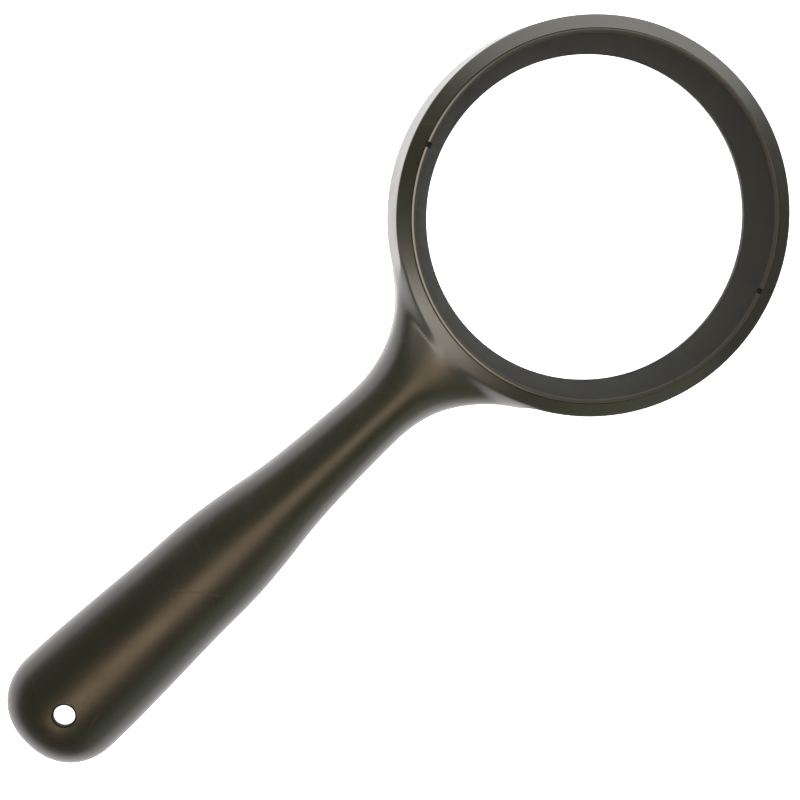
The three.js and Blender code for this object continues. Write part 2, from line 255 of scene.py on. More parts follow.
# Fineness of the meshes
RIM_COLUMNS = 80
NECK_COLUMNS = 24
FLANK_ROWS = 8
FIRST_ROW_GAP = 0.12
CLOSE_ROW_STEP = 0.55
ROW_STEP_GROWTH = 1.1
EDGE_STEPS = 3
SUPPORT = 0.25
HOLLOW_ROWS = 48
SLAB_STEPS = 80
HOLE_EDGE_STEPS = 5
LENS_STEPS = 48
HEAD_STEPS = 8
CAP_STEPS = 22
ARC_STEP = math.radians(22.5)
FINE_ROUND = 192
SMALL_ROUND = 48
SMOOTH_ANGLE = math.radians(32)
MERGE_DISTANCE = 1e-4
CUT_MARGIN = 1.0

# ------------------------------------------------------------------ mesh tools (millimetres)


def make_piece(name, points, faces):
    """A closed mesh object from points about the rim centre."""
    mesh = bpy.data.meshes.new(name)
    mesh.from_pydata([tuple(point) for point in points], [], faces)
    shape = bmesh.new()
    shape.from_mesh(mesh)
    bmesh.ops.remove_doubles(shape, verts=shape.verts, dist=MERGE_DISTANCE)
    bmesh.ops.recalc_face_normals(shape, faces=shape.faces)
    shape.to_mesh(mesh)
    shape.free()
    piece = bpy.data.objects.new(name, mesh)
    bpy.context.scene.collection.objects.link(piece)
    return piece


def apply_modifiers(piece):
    bpy.context.view_layer.update()
    graph = bpy.context.evaluated_depsgraph_get()
    mesh = bpy.data.meshes.new_from_object(piece.evaluated_get(graph))
    piece.modifiers.clear()
    piece.data = mesh
    return piece


def combine(piece, other, operation):
    """Joins other to a piece (UNION), cuts it away (DIFFERENCE) or keeps what both share (INTERSECT)."""
    modifier = piece.modifiers.new("combine", "BOOLEAN")
    modifier.operation = operation
    modifier.solver = "MANIFOLD"
    modifier.object = other
    apply_modifiers(piece)
    bpy.data.objects.remove(other)
    return piece


def subdivide(piece, levels):
    modifier = piece.modifiers.new("smooth", "SUBSURF")
    modifier.levels = levels
    modifier.render_levels = levels
    return apply_modifiers(piece)


def finish_piece(piece, name, node, body, material):
    """Moves a finished mesh from millimetres into the frame, in place of its CAD node."""
    piece.name = name
    piece.data.name = name
    piece.data.transform(Matrix.Scale(MM, 4) @ Matrix.Translation(RIM_CENTRE))
    piece.data.shade_smooth()
    piece.data.set_sharp_from_angle(angle=SMOOTH_ANGLE)
    piece.data.materials.clear()
    piece.data.materials.append(material)
    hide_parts(node)
    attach(piece, body)
    return piece


def polar(radius, angle, z):
    """A point by its distance from the rim centre and its angle from the handle's direction."""
    return Vector((radius * math.sin(angle), -radius * math.cos(angle), z))


def rounded(corners):
    """An outline through (radius, z, rounding) corners, each turned into an arc of that radius."""
    outline = []
    for i, (x, z, rounding) in enumerate(corners):
        corner = Vector((x, z))
        if rounding == 0:
            outline.append(corner)
            continue
        back = (Vector(corners[i - 1][:2]) - corner).normalized()
        onward = (Vector(corners[(i + 1) % len(corners)][:2]) - corner).normalized()
        half_angle = back.angle(onward) / 2
        centre = corner + (back + onward).normalized() * rounding / math.sin(half_angle)
        start = corner + back * rounding / math.tan(half_angle) - centre
        end = corner + onward * rounding / math.tan(half_angle) - centre
        turn = math.copysign(math.pi - 2 * half_angle, start.cross(end))
        steps = max(2, math.ceil(abs(turn) / ARC_STEP))
        for step in range(steps + 1):
            angle = turn * step / steps
            cos, sin = math.cos(angle), math.sin(angle)
            outline.append(centre + Vector((start.x * cos - start.y * sin, start.x * sin + start.y * cos)))
    return outline


def grid_faces(rows, columns, closed_rows, closed_columns):
    """Quads between neighbouring rows and columns of a grid of points."""
    faces = []
    for row in range(rows if closed_rows else rows - 1):
        for column in range(columns if closed_columns else columns - 1):
            next_row = (row + 1) % rows
            next_column = (column + 1) % columns
            faces.append((
                row * columns + column, row * columns + next_column,
                next_row * columns + next_column, next_row * columns + column,
            ))
    return faces


def turned(name, outline, segments, centre=(0, 0)):
    """A solid of revolution about a line along Z. An outline that starts on the axis ends on it too."""
    points = []
    for step in range(segments):
        angle = 2 * math.pi * step / segments
        for radius, z in outline:
            points.append((centre[0] + radius * math.cos(angle), centre[1] + radius * math.sin(angle), z))
    on_axis = outline[0][0] == 0
    return make_piece(name, points, grid_faces(segments, len(outline), True, not on_axis))


def thread_ridge(name, root_r, tip_r, start_z, start_turns):
    """A helical ridge that rises out of its wall at one end and sinks back into it at the other."""
    steps = int(THREAD_TURNS * FINE_ROUND)
    points = []
    for step in range(steps + 1):
        share = step / steps
        turns = start_turns + THREAD_TURNS * share
        rise = min(1, RIDGE_END_STEEPNESS * share, RIDGE_END_STEEPNESS * (1 - share))
        rise = rise * rise * (3 - 2 * rise)
        tip = root_r + (tip_r - root_r) * max(rise, RIDGE_LEAST_RISE)
        angle = 2 * math.pi * turns
        z = start_z + PITCH * turns
        for radius, offset in (
            (root_r, -RIDGE_ROOT_WIDTH / 2), (tip, -RIDGE_TIP_WIDTH / 2),
            (tip, RIDGE_TIP_WIDTH / 2), (root_r, RIDGE_ROOT_WIDTH / 2),
        ):
            points.append((radius * math.cos(angle), radius * math.sin(angle), z + offset))
    faces = grid_faces(steps + 1, 4, False, True)
    faces += [(0, 1, 2, 3), tuple(4 * steps + k for k in (3, 2, 1, 0))]
    return make_piece(name, points, faces)


def box_piece(name, size, place, turn=0.0):
    """A plain cutter with its middle at a place, turned about Z about the rim centre."""
    points = []
    for x in (-0.5, 0.5):
        for y in (-0.5, 0.5):
            for z in (-0.5, 0.5):
                point = Vector((x * size[0] + place[0], y * size[1] + place[1], z * size[2] + place[2]))
                points.append(Matrix.Rotation(turn, 3, "Z") @ point)
    faces = [(0, 1, 3, 2), (4, 6, 7, 5), (0, 4, 5, 1), (2, 3, 7, 6), (0, 2, 6, 4), (1, 5, 7, 3)]
    return make_piece(name, points, faces)


# ------------------------------------------------------------------ the handle's form


def smoothstep(value, low, high):
    share = min(max((value - low) / (high - low), 0), 1)
    return share * share * (3 - 2 * share)


def through(stations, at):
    """A smooth curve through (position, value) stations, with level ends."""
    last = len(stations) - 1
    if at >= stations[last][0]:
        return stations[last][1]
    i = max([k for k in range(last) if stations[k][0] <= at], default=0)

    def slope(k):
        if k <= 0 or k >= last:
            return 0
        return (stations[k + 1][1] - stations[k - 1][1]) / (stations[k + 1][0] - stations[k - 1][0])

    (x0, y0), (x1, y1) = stations[i], stations[i + 1]
    span = x1 - x0
    t = max(0, (at - x0) / span)
    return (
        (2 * t**3 - 3 * t**2 + 1) * y0 + (t**3 - 2 * t**2 + t) * span * slope(i)
        + (3 * t**2 - 2 * t**3) * y1 + (t**3 - t**2) * span * slope(i + 1)
    )


def cap_fullness(into_cap, cap_length):
    """How full a rounded end is: 1 before the cap starts, 0 at its tip."""
    reach = min(max(into_cap / cap_length, 0), 1)
    return (1 - reach**CAP_EXPONENT) ** (1 / CAP_EXPONENT)


def half_width(distance):
    return through(HALF_WIDTHS, distance) * cap_fullness(distance - (TIP - CAP_LENGTH), CAP_LENGTH)


FILLET_X = NECK_HALF_WIDTH + FILLET_R
NECK_ANGLE = math.atan2(FILLET_X, NECK)


def half_angle(distance, inset=0.0):
    """Half of the angle the handle takes up, seen from the rim centre."""
    if distance >= NECK:
        return math.asin(max(half_width(distance) - inset, 0) / distance)
    fillet_distance = math.hypot(FILLET_X, NECK)
    cosine = (distance**2 + fillet_distance**2 - FILLET_R**2) / (2 * distance * fillet_distance)
    return NECK_ANGLE - math.acos(min(cosine, 1))


def handle_height(distance):
    """Height of the handle's ridge without the apron."""
    cap = cap_fullness(distance - (TIP - CAP_LENGTH), CAP_LENGTH)
    return SIDE_BAND + (through(HEIGHTS, distance) - SIDE_BAND) * cap


def apron_rise(distance, sideways):
    """How far the lip's slope, which runs on as a short narrow apron, stands above the ridge."""
    gap = LIP_OUTER_Z - LIP_SLOPE * (distance - LIP_R) - handle_height(distance)
    share = max(1 - (sideways / APRON_HALF_WIDTH) ** 2, 0) ** 2
    return share * (gap + math.hypot(gap, APRON_EASE)) / 2


def side_band(distance):
    """Height of the upright side under the dome: tall beside the rim's wall, low from the neck on."""
    settled = smoothstep(distance, BACK_R, BAND_SETTLES_AT)
    return RIM_SIDE_BAND + (SIDE_BAND - RIM_SIDE_BAND) * settled


def dome(value):
    """Height of the dome, as a share of its rise, at a share of the way to its side."""
    return (1 - min(value, 1) ** SECTION_EXPONENT) ** (1 / SECTION_EXPONENT)


def outline_normal(distance):
    """Inward direction of the handle's outline on its +X side."""
    if distance >= TIP:
        return Vector((0, 1))
    step = 0.02
    before, after = [polar(d, half_angle(d), 0).xy for d in (distance - step, min(distance + step, TIP))]
    along = (after - before).normalized()
    return Vector((along.y, -along.x))


def handle_section(distance):
    """The closed section at a distance: top from left to right, right flank, bottom, left flank."""
    reach = half_angle(distance)
    band = side_band(distance)
    rise = handle_height(distance) - band
    shoulder = 2 ** (-1 / SECTION_EXPONENT)

    top = []
    for column in range(NECK_COLUMNS + 1):
        side = shoulder * (2 * column / NECK_COLUMNS - 1)
        apron = apron_rise(distance, distance * side * reach)
        top.append(polar(distance, side * reach, band + rise * dome(abs(side)) + apron))

    flank = []
    for row in range(1, FLANK_ROWS + 1):
        height = shoulder * (1 - row / FLANK_ROWS)
        flank.append(polar(distance, dome(height) * reach, band + rise * height))

    foot = polar(distance, reach, 0)
    inward = outline_normal(distance).to_3d()
    flank += edge_points(foot, inward)

    corner = foot + inward * EDGE_ROUND
    corner_angle = math.atan2(corner.x, -corner.y)
    bottom = []
    for column in range(NECK_COLUMNS + 1):
        bottom.append(polar(corner.length, corner_angle * (1 - 2 * column / NECK_COLUMNS), 0))
    mirrored = [Vector((-point.x, point.y, point.z)) for point in reversed(flank)]
    return top + flank + bottom + mirrored


def handle_distances():
    """Close rows where the handle leaves the rim and in its rounded end, wider ones between."""
    distances = []
    distance = BACK_R + FIRST_ROW_GAP
    while distance < TIP - CAP_LENGTH:
        distances.append(distance)
        distance += CLOSE_ROW_STEP + ROW_STEP_GROWTH * smoothstep(distance, BACK_R, NECK)
    for step in range(CAP_STEPS + 1):
        into_cap = math.sin(math.pi / 2 * step / CAP_STEPS) ** (2 / CAP_EXPONENT)
        distances.append(TIP - CAP_LENGTH * (1 - into_cap))
    return distances


# ------------------------------------------------------------------ frame


def edge_points(foot, inward):
    """The rounding between a side wall and the flat back, from the wall down to just before the back."""
    points = []
    for step in range(EDGE_STEPS):
        angle = math.pi / 2 * step / EDGE_STEPS
        rise = Vector((0, 0, EDGE_ROUND * (1 - math.sin(angle))))
        points.append(foot + inward * EDGE_ROUND * (1 - math.cos(angle)) + rise)
    return points


def supported(outline):
    """Adds a point close to each end of a long straight run, so that smoothing keeps its corners."""
    result = [outline[0]]
    for before, after in zip(outline, outline[1:]):
        run = after - before
        if run.length > 4 * SUPPORT:
            result += [before + run.normalized() * SUPPORT, after - run.normalized() * SUPPORT]
        result.append(after)
    return result


def rim_sections():
    """The rim's section in two runs: down its outside, and from the back edge round to the lip."""
    past_lip = LIP_ROUND / 3
    lip_corner = (LIP_R + past_lip, LIP_OUTER_Z - LIP_SLOPE * past_lip, LIP_ROUND)
    lip_arc = rounded([(BORE_R, LIP_INNER_Z, 0), lip_corner, (BACK_R, EDGE_ROUND, 0)])[1:-1]
    wall_foot = Vector((BACK_R - WALL_DRAFT, SIDE_BAND))
    outside = list(lip_arc[1:])
    wall_rows = FLANK_ROWS - len(outside)
    for row in range(1, wall_rows + 1):
        outside.append(lip_arc[-1].lerp(wall_foot, row / wall_rows))
    around = supported(rounded([
        (BACK_R - EDGE_ROUND, 0, 0),
        (SEAT_R, 0, FINE_EDGE),
        (SEAT_R, SEAT_FLANGE, FINE_EDGE),
        (POCKET_R, SEAT_FLANGE, FINE_EDGE),
        (POCKET_R, LEDGE_Z, FINE_EDGE),
        (BORE_R, LEDGE_Z, FINE_EDGE),
        (BORE_R, LIP_INNER_Z, FINE_EDGE),
        (lip_arc[0].x, lip_arc[0].y, 0),
    ]))
    return outside, around


def rim_and_handle():
    """One skin: the handle grows out of the rim where the rim's outside wall is left open."""
    outside, around = rim_sections()
    rest = 2 * (math.pi - NECK_ANGLE)
    angles = [NECK_ANGLE * (2 * k / NECK_COLUMNS - 1) for k in range(NECK_COLUMNS + 1)]
    angles += [NECK_ANGLE + rest * k / RIM_COLUMNS for k in range(1, RIM_COLUMNS)]
    points = []
    faces = []

    def add_points(new_points):
        points.extend(new_points)
        return list(range(len(points) - len(new_points), len(points)))

    inner = [add_points([polar(p.x, angle, p.y) for p in around]) for angle in angles]
    outer = {}
    for column in [0, *range(NECK_COLUMNS, len(angles))]:
        angle = angles[column]
        wall = [polar(p.x, angle, p.y) for p in outside]
        outer[column] = add_points(wall + edge_points(polar(BACK_R, angle, 0), -polar(1, angle, 0)))

    for column in range(len(angles)):
        beside = (column + 1) % len(angles)
        strips = [(inner[column], inner[beside])]
        if column >= NECK_COLUMNS:
            strips.append((
                [inner[column][-1], *outer[column], inner[column][0]],
                [inner[beside][-1], *outer[beside], inner[beside][0]],
            ))
        for left, right in strips:
            faces += [(left[k], left[k + 1], right[k + 1], right[k]) for k in range(len(left) - 1)]

    span = range(NECK_COLUMNS + 1)
    loop = [inner[k][-1] for k in span] + outer[NECK_COLUMNS]
    loop += [inner[k][0] for k in reversed(span)] + outer[0][::-1]
    for distance in handle_distances():
        next_loop = add_points(handle_section(distance))
        for k in range(len(loop)):
            beside = (k + 1) % len(loop)
            faces.append((loop[k], loop[beside], next_loop[beside], next_loop[k]))
        loop = next_loop
    return subdivide(make_piece("frame_skin", points, faces), 1)


def hollow_bar(name, start, end, inset, sink, low_z):
    """A domed bar that follows the handle inside its walls."""
    points = []
    for row in range(HOLLOW_ROWS + 1):
        distance = start + (end - start) * row / HOLLOW_ROWS
        reach = half_angle(distance, inset)
        band = side_band(distance)
        rise = handle_height(distance) - sink - band
        for column in range(NECK_COLUMNS + 1):
            side = math.sin(math.pi * (column / NECK_COLUMNS - 0.5))
            points.append(polar(distance, side * reach, band + rise * dome(abs(side))))
        points += [polar(distance, reach, low_z), polar(distance, -reach, low_z)]
    width = NECK_COLUMNS + 3
    faces = grid_faces(HOLLOW_ROWS + 1, width, False, True)
    faces += [tuple(range(width)), tuple(HOLLOW_ROWS * width + k for k in reversed(range(width)))]
    return make_piece(name, points, faces)


def slab_outline(inset, end_inset):
    """An outline inside the handle's, rounded at the neck end and at the butt end."""
    start = HOLLOW_START + end_inset
    end = HOLLOW_END - end_inset
    neck_cap = NECK_HALF_WIDTH - inset
    side = []
    for step in range(SLAB_STEPS + 1):
        distance = start + (end - start) * (1 - math.cos(math.pi * step / SLAB_STEPS)) / 2
        neck_end = cap_fullness(start + neck_cap - distance, neck_cap)
        butt_end = cap_fullness(distance - (end - CAP_LENGTH), CAP_LENGTH)
        side.append((max(half_width(distance) - inset, 0) * neck_end * butt_end, -distance))
    return side + [(-x, y) for x, y in reversed(side[1:-1])]


def handle_slab(name, inset, end_inset, levels):
    """An upright slab inside the handle's outline; each level is (height, how much it grows)."""
    points = []
    for z, growth in levels:
        points += [(x, y, z) for x, y in slab_outline(inset - growth, end_inset - growth)]
    width = len(points) // len(levels)
    faces = grid_faces(len(levels), width, False, True)
    faces += [tuple(range(width)), tuple(len(points) - width + k for k in reversed(range(width)))]
    return make_piece(name, points, faces)


def hanging_hole():
    """A short round hole with a softened front edge, opening into a cone towards the back."""
    top_z = handle_height(HOLE_DISTANCE)
    cone_top_z = top_z - HOLE_LAND
    spread = (HOLE_BACK_R - HOLE_R) / cone_top_z
    outline = [
        (0, -CUT_MARGIN),
        (HOLE_BACK_R + CUT_MARGIN * spread + EDGE_ROUND, -CUT_MARGIN),
        (HOLE_BACK_R + EDGE_ROUND, 0),
        (HOLE_BACK_R - EDGE_ROUND * spread, EDGE_ROUND),
        (HOLE_R + FINE_EDGE / 2, cone_top_z - FINE_EDGE),
        (HOLE_R, cone_top_z),
    ]
    for step in range(HOLE_EDGE_STEPS + 1):
        angle = math.pi / 2 * step / HOLE_EDGE_STEPS
        outline.append((
            HOLE_R + HOLE_EDGE * (1 - math.cos(angle)),
            top_z - HOLE_EDGE * (1 - math.sin(angle)),
        ))
    mouth_r = HOLE_R + 2 * HOLE_EDGE
    outline += [(mouth_r, top_z + FINE_EDGE), (mouth_r, top_z + CUT_MARGIN), (0, top_z + CUT_MARGIN)]
    return turned("hole_cutter", outline, FINE_ROUND // 2, (0, -HOLE_DISTANCE))


def build_frame(material):
    piece = rim_and_handle()
    bevel = EDGE_ROUND / 2
    recess_levels = [(-CUT_MARGIN, bevel), (0, bevel), (bevel, 0), (RECESS_Z, 0)]
    recess = handle_slab("recess_cutter", WALL, 0, recess_levels)
    hollow = hollow_bar("hollow_cutter", HOLLOW_START, HOLLOW_END, WALL, WALL, -CUT_MARGIN)
    slab_levels = [(-2 * CUT_MARGIN, 0), (CREST_Z, 0)]
    inner_slab = handle_slab("inner_slab", WALL + LEDGE_WIDTH, LEDGE_WIDTH, slab_levels)
    combine(hollow, inner_slab, "INTERSECT")
    ridge_root_r = BORE_R + RIDGE_SINK
    ridge_z = RING_RIDGE_Z + PITCH / 2
    rim_ridge = thread_ridge("rim_ridge", ridge_root_r, RIM_RIDGE_TIP_R, ridge_z, RIM_RIDGE_LEAD_TURNS)
    combine(piece, recess, "DIFFERENCE")
    combine(piece, hollow, "DIFFERENCE")
    combine(piece, hanging_hole(), "DIFFERENCE")
    combine(piece, rim_ridge, "UNION")
    for distance in RIB_DISTANCES:
        size = (2 * HOLLOW_START, RIB_THICKNESS, CREST_Z)
        rib = box_piece("rib", size, (0, -distance, RECESS_Z + CREST_Z / 2))
        within = hollow_bar("within_walls", HOLLOW_START, HOLLOW_END, WALL / 2, WALL / 2, 0)
        combine(piece, combine(rib, within, "INTERSECT"), "UNION")
    for distance in SCREW_DISTANCES:
        boss_top = handle_height(distance) - WALL / 2
        boss = [(0, RECESS_Z), (BOSS_R, RECESS_Z), (BOSS_R, boss_top), (0, boss_top)]
        pilot = [(0, 0), (PILOT_R, 0), (PILOT_R, PILOT_TOP_Z), (0, PILOT_TOP_Z)]
        combine(piece, turned("boss", boss, SMALL_ROUND, (0, -distance)), "UNION")
        combine(piece, turned("pilot", pilot, SMALL_ROUND, (0, -distance)), "DIFFERENCE")
    return finish_piece(piece, "frame_moulding", "frame", "frame_body", material)


# ------------------------------------------------------------------ ring, lens and thin rings


def build_retaining_ring(material):
    outline = rounded([
        (OPENING_R, RING_BACK_Z, FINE_EDGE),
        (RING_BODY_R, RING_BACK_Z, EDGE_ROUND),
        (RING_BODY_R, RING_HEAD_Z, FINE_EDGE),
        (RING_HEAD_R, RING_HEAD_Z, FINE_EDGE),
        (RING_HEAD_R, CREST_Z, CREST_ROUND),
        (CREST_INNER_R, CREST_Z, CREST_ROUND),
        (OPENING_R, RING_BACK_Z + OPENING_LAND, FINE_EDGE),
    ])
    piece = turned("ring_body", outline, FINE_ROUND)
    ridge = thread_ridge("ring_ridge", RING_BODY_R - RIDGE_SINK, RING_RIDGE_TIP_R, RING_RIDGE_Z, 0)
    combine(piece, ridge, "UNION")
    for angle in (NOTCH_ANGLE, NOTCH_ANGLE + math.pi):
        size = (NOTCH_CUTTER_LENGTH, NOTCH_WIDTH, 2 * NOTCH_DEPTH)
        notch = box_piece("notch", size, (RING_HEAD_R, 0, CREST_Z), angle)
        combine(piece, notch, "DIFFERENCE")
    return finish_piece(
        piece, "retaining_ring_turned", "retaining_ring", "retaining_ring_body", material,
    )


def build_lens(material):
    edge_top = LENS_LOW.z + LENS_EDGE
    rim_drop = math.sqrt(LENS_CURVE_R**2 - LENS_R**2)
    outline = [
        Vector((0, LENS_LOW.z)),
        Vector((LENS_R - LENS_BEVEL, LENS_LOW.z)),
        Vector((LENS_R, LENS_LOW.z + LENS_BEVEL)),
        Vector((LENS_R, edge_top - LENS_BEVEL)),
    ]
    for step in range(LENS_STEPS + 1):
        radius = (LENS_R - LENS_BEVEL) * (1 - step / LENS_STEPS)
        outline.append(Vector((radius, edge_top + math.sqrt(LENS_CURVE_R**2 - radius**2) - rim_drop)))
    piece = turned("lens_body", outline, FINE_ROUND)
    return finish_piece(piece, "lens_glass_disc", "lens", "frame_body", material)


def build_thin_ring(name, node, body, inner_r, low, high, rounding, material):
    """A flat ring with rounded edges, between two corners of its CAD box."""
    outline = rounded([
        (inner_r, low.z, rounding), (high.x, low.z, rounding),
        (high.x, high.z, rounding), (inner_r, high.z, rounding),
    ])
    piece = turned(name, outline, FINE_ROUND)
    return finish_piece(piece, name, node, body, material)


# ------------------------------------------------------------------ cover and screws


def build_cover(material):
    low, high = COVER_LOW.z, COVER_HIGH.z
    levels = [(low, -COVER_BEVEL), (low + COVER_BEVEL, 0), (high - FINE_EDGE, 0), (high, -FINE_EDGE)]
    piece = handle_slab("cover_body", WALL + COVER_GAP, COVER_GAP, levels)
    for distance in SCREW_DISTANCES:
        bore = [
            (0, low - CUT_MARGIN),
            (COUNTERBORE_R + COVER_BEVEL + CUT_MARGIN, low - CUT_MARGIN),
            (COUNTERBORE_R + COVER_BEVEL, low),
            (COUNTERBORE_R, low + COVER_BEVEL),
            (COUNTERBORE_R, COUNTERBORE_Z),
            (PILOT_R, COUNTERBORE_Z),
            (PILOT_R, high + CUT_MARGIN),
            (0, high + CUT_MARGIN),
        ]
        combine(piece, turned("bore", bore, SMALL_ROUND, (0, -distance)), "DIFFERENCE")
    return finish_piece(
        piece, "back_cover_plate", "handle_back_cover", "frame_body", material,
    )


def build_screw(number, distance, material):
    """A self-tapping screw with a domed head, a cross recess and a true helical thread."""
    head_back = SCREW_LOW.z
    shoulder = head_back + HEAD_HEIGHT
    tip_z = SCREW_HIGH.z
    outline = [(0, head_back)]
    for step in range(1, HEAD_STEPS + 1):
        angle = math.pi / 2 * step / HEAD_STEPS
        radius = HEAD_R * math.sin(angle) ** HEAD_DOME_EXPONENT
        outline.append((radius, head_back + HEAD_DOME_HEIGHT * (1 - math.cos(angle))))
    outline += [(HEAD_R, shoulder), (CORE_R, shoulder)]
    outline += [(CORE_R, tip_z - POINT_LENGTH), (POINT_R, tip_z), (0, tip_z)]
    piece = turned("screw", outline, SMALL_ROUND, (0, -distance))
    ridge = screw_ridge(distance, shoulder + SCREW_RIDGE_FROM_HEAD, tip_z - SCREW_RIDGE_FROM_TIP)
    combine(piece, ridge, "UNION")
    for length, width in ((CROSS_LENGTH, CROSS_WIDTH), (CROSS_WIDTH, CROSS_LENGTH)):
        slot = box_piece("slot", (length, width, 2 * CROSS_DEPTH), (0, -distance, head_back))
        combine(piece, slot, "DIFFERENCE")
    name = SCREW_NAMES[number]
    return finish_piece(piece, f"{name}_steel", name, "frame_body", material)


def screw_ridge(distance, low_z, high_z):
    """A sharp V-shaped helical ridge round the screw's core."""
    root_r = CORE_R - SCREW_RIDGE_SINK
    turns = (high_z - low_z) / SCREW_PITCH
    steps = int(turns * SMALL_ROUND)
    points = []
    for step in range(steps + 1):
        share = step / steps
        rise = min(1, SCREW_RIDGE_END_STEEPNESS * share, SCREW_RIDGE_END_STEEPNESS * (1 - share))
        tip = SCREW_RIDGE_LOW_R + (SHANK_R - SCREW_RIDGE_LOW_R) * max(rise, SCREW_RIDGE_LEAST_RISE)
        angle = 2 * math.pi * turns * share
        z = low_z + (high_z - low_z) * share
        section = ((root_r, -SCREW_RIDGE_HALF_WIDTH), (tip, 0), (root_r, SCREW_RIDGE_HALF_WIDTH))
        for radius, offset in section:
            points.append((radius * math.cos(angle), radius * math.sin(angle) - distance, z + offset))
    faces = grid_faces(steps + 1, 3, False, True)
    faces += [(0, 1, 2), (3 * steps + 2, 3 * steps + 1, 3 * steps)]
    return make_piece("screw_ridge", points, faces)


# ------------------------------------------------------------------ materials


def add_node(tree, kind, settings, inputs):
    """Adds a node, with its settings and its inputs by name or number; a socket as a value is linked."""
    made = tree.nodes.new(kind)
    for name, value in settings.items():
        setattr(made, name, value)
    for name, value in inputs.items():
        if isinstance(value, bpy.types.NodeSocket):
            tree.links.new(value, made.inputs[name])
        else:
            made.inputs[name].default_value = value
    return made


def math_node(tree, operation, *values):
    return add_node(tree, "ShaderNodeMath", {"operation": operation}, dict(enumerate(values))).outputs[0]


def mix_colour(tree, share, first, second):
    """Mixes two colours, given as numbers or as sockets."""
    made = add_node(tree, "ShaderNodeMix", {"data_type": "RGBA"}, {0: share})
    for socket, value in ((made.inputs[6], first), (made.inputs[7], second)):
        if isinstance(value, bpy.types.NodeSocket):
            tree.links.new(value, socket)
        else:
            socket.default_value = (*value, 1)
    return made.outputs[2]


def shifted(tree, base, share, amount):
    """A value that moves away from its base by an amount as the share goes from 0 to 1."""
    return math_node(tree, "MULTIPLY_ADD", share, amount, base)


def rubbed_plastic(tree, colour, share, amount):
    """The plastic's colour, rubbed lighter where the share is high."""
    return mix_colour(tree, math_node(tree, "MULTIPLY", share, amount), colour, RUBBED_PLASTIC)


def ramp(tree, value, low, high):
    """0 below low, 1 above high, smooth between."""
    settings = {"interpolation_type": "SMOOTHSTEP"}
    return add_node(tree, "ShaderNodeMapRange", settings, {0: value, 1: low, 2: high}).outputs[0]


def place(tree, stretch=(1, 1, 1), turn=(0, 0, 0)):
    """Object coordinates in millimetres, turned and stretched."""
    coordinates = add_node(tree, "ShaderNodeTexCoord", {}, {})
    scale = tuple(share / MM for share in stretch)
    turned_place = add_node(tree, "ShaderNodeVectorRotate", {"rotation_type": "EULER_XYZ"}, {
        "Vector": coordinates.outputs["Object"], "Rotation": turn,
    })
    stretched = add_node(tree, "ShaderNodeVectorMath", {"operation": "MULTIPLY"}, {
        0: turned_place.outputs[0], 1: scale,
    })
    return stretched.outputs[0]


def noise(tree, where, scale, detail=3.0, roughness=0.5):
    return add_node(tree, "ShaderNodeTexNoise", {}, {
        "Vector": where, "Scale": scale, "Detail": detail, "Roughness": roughness,
    }).outputs[0]


def scratches(tree, turns, amount):
    """Fine hairlines in several directions: the amount on a scratch and 0 beside it."""
    total = None
    for turn in turns:
        line_place = place(tree, stretch=(0.05, 1.6, 0.05), turn=(0.3, 0.2, turn))
        lines = noise(tree, line_place, scale=1.0, detail=2.0, roughness=0.6)
        patch_place = place(tree, stretch=(0.06, 0.06, 0.06), turn=(0, 0, turn + 1))
        patch = noise(tree, patch_place, scale=1.0)
        fine = ramp(tree, lines, low=0.66, high=0.72)
        line = math_node(tree, "MULTIPLY", fine, ramp(tree, patch, low=0.42, high=0.62))
        total = line if total is None else math_node(tree, "MAXIMUM", total, line)
    return math_node(tree, "MULTIPLY", total, amount)


def edge_mask(tree, radius, sharpness):
    """1 along edges, from how far a bevelled normal leans away from the true one."""
    bevel = add_node(tree, "ShaderNodeBevel", {"samples": 6}, {"Radius": radius * MM})
    geometry = add_node(tree, "ShaderNodeNewGeometry", {}, {})
    lean = add_node(tree, "ShaderNodeVectorMath", {"operation": "DOT_PRODUCT"}, {
        0: bevel.outputs[0], 1: geometry.outputs["Normal"],
    }).outputs["Value"]
    away = math_node(tree, "SUBTRACT", 1.0, lean)
    return ramp(tree, away, low=0.01, high=sharpness)


def bump(tree, height, strength, distance, below=None):
    inputs = {"Height": height, "Strength": strength, "Distance": distance * MM}
    if below is not None:
        inputs["Normal"] = below
    return add_node(tree, "ShaderNodeBump", {}, inputs).outputs[0]


def new_material(name):
    material = bpy.data.materials.new(name)
    material.use_nodes = True
    tree = material.node_tree
    tree.nodes.clear()
    return material, tree


def finish_material(tree, shader):
    output = tree.nodes.new("ShaderNodeOutputMaterial")
    tree.links.new(shader, output.inputs["Surface"])


def principled(tree, inputs):
    return add_node(tree, "ShaderNodeBsdfPrincipled", {}, inputs).outputs[0]


def distance_from(tree, centre):
    """Distance in millimetres, seen from above, from a point on the back."""
    return add_node(tree, "ShaderNodeVectorMath", {"operation": "DISTANCE"}, {
        0: place(tree, stretch=(1, 1, 0)), 1: centre,
    }).outputs["Value"]


def beyond_hanging_hole(tree):
    """0 in the hanging hole and on its rounded edge, 1 everywhere else."""
    hole_centre = RIM_CENTRE - Vector((0, HOLE_DISTANCE, 0))
    outwards = distance_from(tree, hole_centre)
    return ramp(tree, outwards, low=HOLE_R + HOLE_EDGE, high=HOLE_R + HOLE_EDGE + FINE_EDGE)


